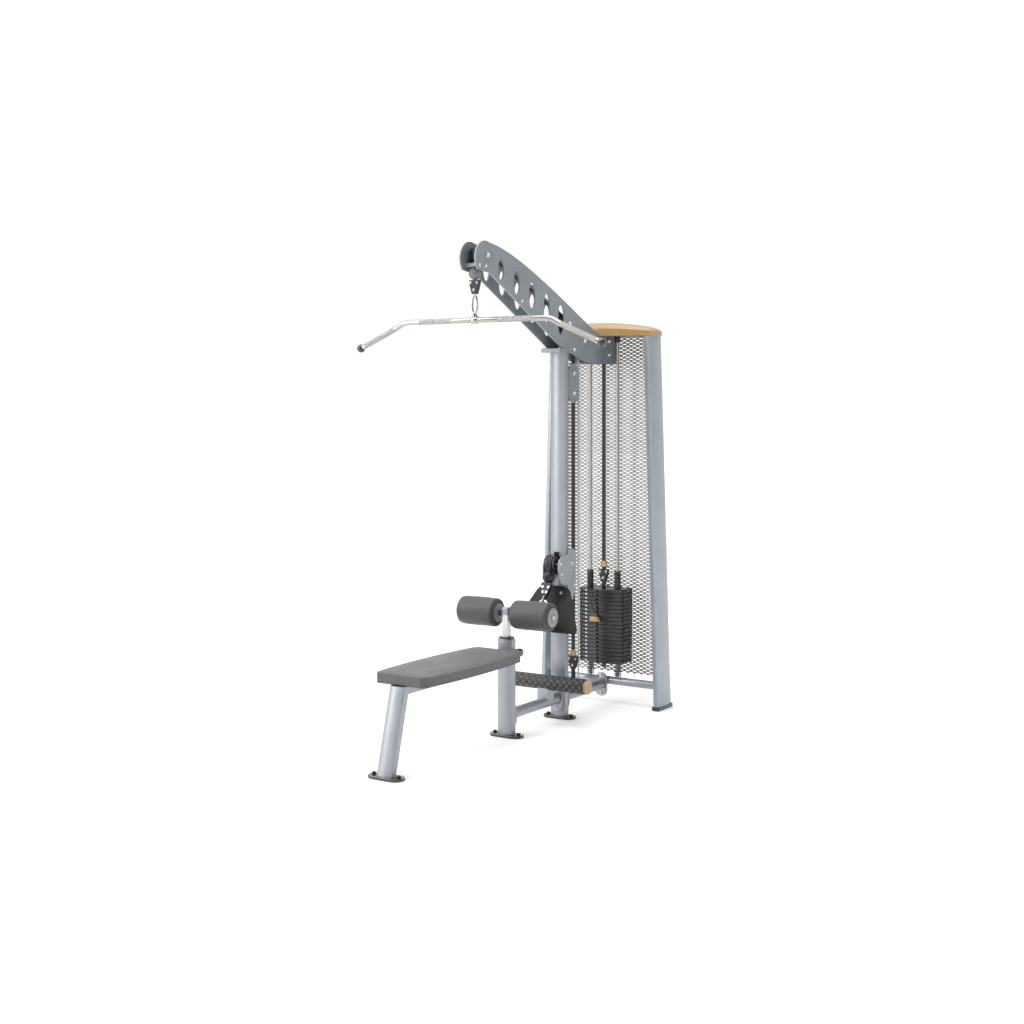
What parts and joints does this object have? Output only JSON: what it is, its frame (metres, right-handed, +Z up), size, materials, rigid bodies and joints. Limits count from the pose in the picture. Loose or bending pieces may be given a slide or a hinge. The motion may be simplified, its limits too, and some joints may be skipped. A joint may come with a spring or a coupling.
{
  "type": "lat pulldown machine",
  "caption": "Selector-stack lat pulldown with a low row belt: bench, thigh rollers, arched boom, belt pulleys and a weight tower.",
  "frame": {"origin": "on the floor under the centre of the machine's box", "axes": "+Z up, +Y from the bench towards the weight tower, +X to the right along the lat bar, on the side of the pull pin"},
  "size_m": [1.313, 1.9, 2.2176],
  "materials": {
    "silver_frame": "satin metallic powder coat",
    "blue_grey_frame": "satin powder coat",
    "gold_cover": "satin gold moulded plastic",
    "black_feet": "gloss black",
    "panel": "perforated sheet, pale coat",
    "chrome": "polished",
    "weight_steel": "black satin",
    "clamp_black": "black satin",
    "pulley_nylon": "black moulded nylon",
    "belt_rubber": "black flat belt",
    "stop_rubber": "grey rubber",
    "black_rubber": "matt black rubber",
    "guard_coat": "coarse black textured coat",
    "vinyl": "dark grey upholstery vinyl over foam"
  },
  "bodies": {
    "root": {"anchor_belt": "belt_rubber", "back_panel": "panel", "base_rail": "blue_grey_frame", "belt_anchor": "clamp_black", "bench_leg": "silver_frame", "bench_post": "silver_frame", "block_guide_rod": "chrome", "boom_belt": "belt_rubber", "boom_plate_left": "blue_grey_frame", "boom_plate_right": "blue_grey_frame", "column_cap": "blue_grey_frame", "column_foot": "black_feet", "floor_rail": "silver_frame", "footrest_bar": "black_rubber", "footrest_bracket": "silver_frame", "front_column": "silver_frame", "guide_rod_left": "chrome", "guide_rod_right": "chrome", "lat_belt": "belt_rubber", "leg_foot": "black_feet", "low_pulley_bracket": "silver_frame", "post_foot": "black_feet", "resting_plates": "weight_steel", "seat_pad": "vinyl", "seat_rail": "silver_frame", "shin_guard": "guard_coat", "stack_belt": "belt_rubber", "stack_bumper_left": "black_rubber", "stack_bumper_right": "black_rubber", "tower_column_left": "blue_grey_frame", "tower_column_right": "blue_grey_frame", "tower_cross_rail": "blue_grey_frame", "tower_foot_left": "black_feet", "tower_foot_right": "black_feet", "tower_lid": "gold_cover", "tower_top_beam": "blue_grey_frame"},
    "stack": {"top_plate": "weight_steel", "lifted_plates": "weight_steel", "stack_clevis": "clamp_black"},
    "selector": {"selector_pin": "gold_cover"},
    "bar_hanger": {"lat_stop_ball": "stop_rubber", "lat_clevis": "clamp_black"},
    "link": {"snap_link": "chrome"},
    "bar": {"lat_bar": "chrome"},
    "head_wheel": {"head_pulley": "pulley_nylon"},
    "boom_wheel": {"boom_pulley": "pulley_nylon"},
    "rear_wheel": {"rear_pulley": "pulley_nylon"},
    "tower_wheel": {"tower_pulley": "pulley_nylon"},
    "low_wheel": {"low_pulley": "pulley_nylon"},
    "redirect_wheel": {"redirect_pulley": "pulley_nylon"},
    "block": {"block_cheeks": "blue_grey_frame"},
    "block_wheel_upper": {"block_pulley_upper": "pulley_nylon"},
    "block_wheel_lower": {"block_pulley_lower": "pulley_nylon"},
    "row_hanger": {"row_clevis": "clamp_black"},
    "handle": {"row_handle": "chrome"},
    "thigh_pad": {"thigh_bar": "chrome", "roller_axle": "chrome"},
    "roller_right": {"thigh_roller_right": "vinyl"},
    "roller_left": {"thigh_roller_left": "vinyl"},
    "pull_pin": {"height_pin": "black_feet"}
  },
  "joints": [
    {"name": "stack_lift", "type": "slide", "parent": "root", "child": "stack", "axis": [0, 0, 1], "range_m": [0, 0.95], "deforming": ["stack_belt"]},
    {"name": "bar_travel", "type": "slide", "parent": "root", "child": "bar_hanger", "axis": [0, 0, -1], "range_m": [0, 0.95], "deforming": ["lat_belt"]},
    {"name": "link_swing", "type": "hinge", "parent": "bar_hanger", "child": "link", "pos_m": [0, -0.2815, 1.9812], "axis": [1, 0, 0], "range_deg": [-25, 25]},
    {"name": "bar_swivel", "type": "hinge", "parent": "link", "child": "bar", "pos_m": [0, -0.2815, 1.87], "axis": [0, 0, 1], "range_deg": [-35, 35]},
    {"name": "head_pulley_spin", "type": "hinge", "parent": "root", "child": "head_wheel", "pos_m": [0, -0.245, 2.155], "axis": [1, 0, 0], "continuous": true},
    {"name": "boom_pulley_spin", "type": "hinge", "parent": "root", "child": "boom_wheel", "pos_m": [0, 0.4525, 1.885], "axis": [1, 0, 0], "continuous": true},
    {"name": "rear_pulley_spin", "type": "hinge", "parent": "root", "child": "rear_wheel", "pos_m": [0, 0.5985, 1.805], "axis": [1, 0, 0], "continuous": true},
    {"name": "tower_pulley_spin", "type": "hinge", "parent": "root", "child": "tower_wheel", "pos_m": [0, 0.8285, 1.792], "axis": [1, 0, 0], "continuous": true},
    {"name": "row_pull", "type": "slide", "parent": "root", "child": "row_hanger", "axis": [0, -0.8192, 0.5736], "range_m": [0, 0.5]},
    {"name": "handle_swing", "type": "hinge", "parent": "row_hanger", "child": "handle", "pos_m": [0, 0.29079, 0.57464], "axis": [1, 0, 0], "range_deg": [-65, 0]},
    {"name": "block_slide", "type": "slide", "parent": "root", "child": "block", "axis": [0, 0, -1], "range_m": [0, 0.25], "deforming": ["anchor_belt"]},
    {"name": "block_upper_spin", "type": "hinge", "parent": "block", "child": "block_wheel_upper", "pos_m": [0, 0.5255, 1.649], "axis": [1, 0, 0], "continuous": true},
    {"name": "block_lower_spin", "type": "hinge", "parent": "block", "child": "block_wheel_lower", "pos_m": [0, 0.5255, 1.552], "axis": [1, 0, 0], "continuous": true},
    {"name": "low_pulley_spin", "type": "hinge", "parent": "root", "child": "low_wheel", "pos_m": [0, 0.3685, 0.74], "axis": [1, 0, 0], "continuous": true},
    {"name": "redirect_pulley_spin", "type": "hinge", "parent": "root", "child": "redirect_wheel", "pos_m": [0, 0.4605, 0.74], "axis": [1, 0, 0], "continuous": true},
    {"name": "selector_pull", "type": "slide", "parent": "stack", "child": "selector", "axis": [0, -1, 0], "range_m": [0, 0.09]},
    {"name": "thigh_height", "type": "slide", "parent": "root", "child": "thigh_pad", "axis": [0, 0, 1], "range_m": [-0.06, 0.09]},
    {"name": "roller_right_spin", "type": "hinge", "parent": "thigh_pad", "child": "roller_right", "pos_m": [0, -0.028, 0.555], "axis": [1, 0, 0], "continuous": true},
    {"name": "roller_left_spin", "type": "hinge", "parent": "thigh_pad", "child": "roller_left", "pos_m": [0, -0.028, 0.555], "axis": [1, 0, 0], "continuous": true},
    {"name": "pin_pull", "type": "slide", "parent": "root", "child": "pull_pin", "axis": [1, 0, 0], "range_m": [0, 0.01], "stiffness_N_per_m": 600}
  ],
  "couplings": [
    {"joint": "bar_travel", "follows": "stack_lift", "ratio": 1},
    {"joint": "head_pulley_spin", "follows": "stack_lift", "rad_per_m": 27.397},
    {"joint": "boom_pulley_spin", "follows": "stack_lift", "rad_per_m": 27.397},
    {"joint": "rear_pulley_spin", "follows": "stack_lift", "rad_per_m": 27.397},
    {"joint": "tower_pulley_spin", "follows": "stack_lift", "rad_per_m": 27.397},
    {"joint": "block_upper_spin", "follows": "stack_lift", "rad_per_m": -27.397},
    {"joint": "block_slide", "follows": "row_pull", "ratio": 0.5},
    {"joint": "low_pulley_spin", "follows": "row_pull", "rad_per_m": 27.397},
    {"joint": "redirect_pulley_spin", "follows": "row_pull", "rad_per_m": -35.088},
    {"joint": "block_lower_spin", "follows": "row_pull", "rad_per_m": 13.699}
  ]
}
